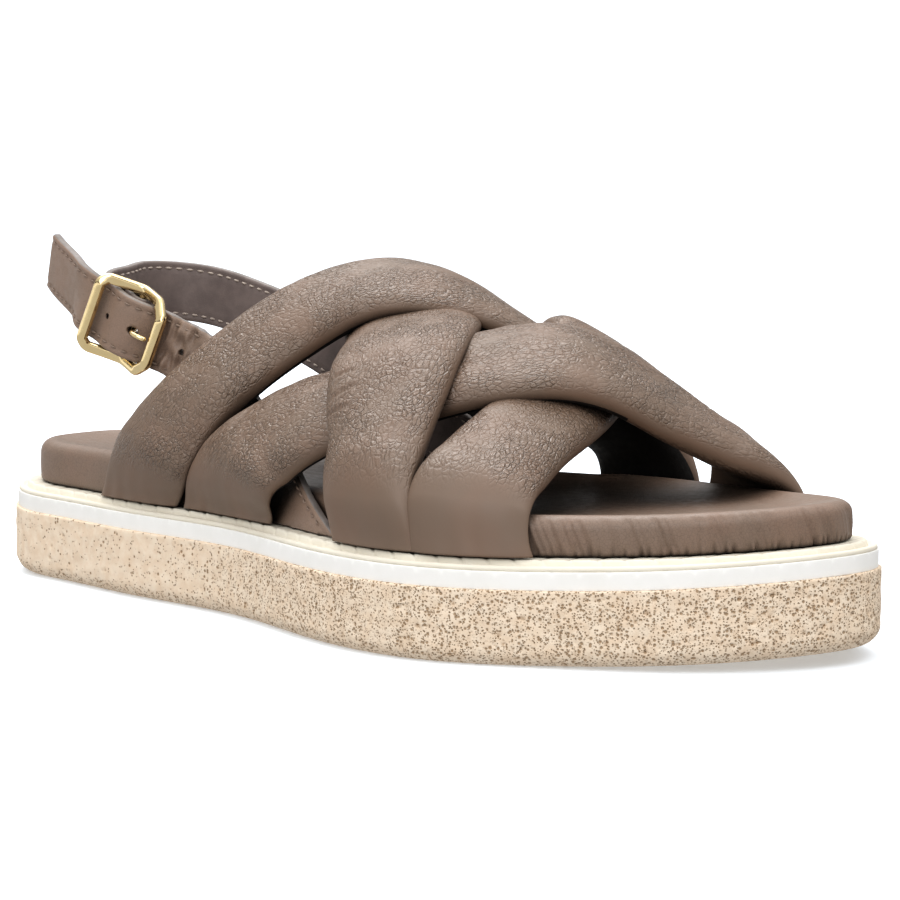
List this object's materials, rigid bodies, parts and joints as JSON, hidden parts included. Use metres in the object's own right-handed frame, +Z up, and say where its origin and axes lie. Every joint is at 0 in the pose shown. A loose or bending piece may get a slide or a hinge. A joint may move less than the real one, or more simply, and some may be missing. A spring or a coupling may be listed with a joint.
{
  "type": "leather sandal",
  "caption": "Open-toe leather platform sandal with padded straps woven over the foot, a buckled heel strap and a crepe sole.",
  "frame": {"origin": "middle of the sole's outline seen from above, on the floor", "axes": "+X from the heel to the toe, +Y to the inner (big toe) side, +Z up"},
  "size_m": [0.265, 0.108, 0.0922],
  "materials": {
    "crepe": "matte, porous crepe foam",
    "white_rubber": "smooth, matte",
    "cream_rubber": "matte with pressed stitch marks",
    "leather": "tumbled grain, satin",
    "brass": "polished gold colour"
  },
  "bodies": {
    "root": {"outsole": "crepe", "midsole": "white_rubber", "welt": "cream_rubber", "footbed": "leather", "upper": "leather", "heel_strap_outer": "leather", "heel_strap_inner": "leather", "buckle_frame": "brass", "buckle_prong": "brass"}
  },
  "joints": []
}
